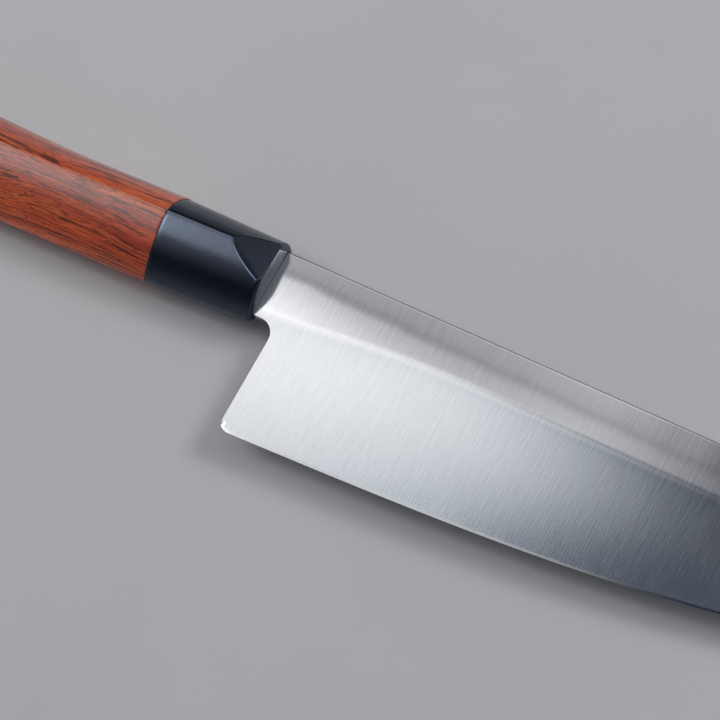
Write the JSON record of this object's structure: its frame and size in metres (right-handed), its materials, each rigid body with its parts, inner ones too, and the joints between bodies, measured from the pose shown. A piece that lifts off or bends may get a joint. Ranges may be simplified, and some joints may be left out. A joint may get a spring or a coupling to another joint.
{
  "type": "santoku knife",
  "caption": "Santoku kitchen knife: double-bevel satin steel blade, black resin ferrule with pinch facets, ridged red hardwood handle on a hidden tang.",
  "frame": {"origin": "centre of the bounding box's base: the knife lies on its side, touching Z = 0 with the handle's ridge", "axes": "+X along the handle's axis to the tip, +Y to the spine, +Z out of the upper cheek of the blade"},
  "size_m": [0.294, 0.0524, 0.0184],
  "materials": {
    "steel": "satin, fine grinding lines across the blade, brighter sharpened bevel",
    "black_resin": "moulded, polished",
    "red_hardwood": "dark grain along the handle, satin varnish",
    "adhesive": "hardened, hidden"
  },
  "bodies": {
    "root": {"blade": "steel", "ferrule": "black_resin", "wooden_handle": "red_hardwood", "tang_adhesive": "adhesive"}
  },
  "joints": []
}
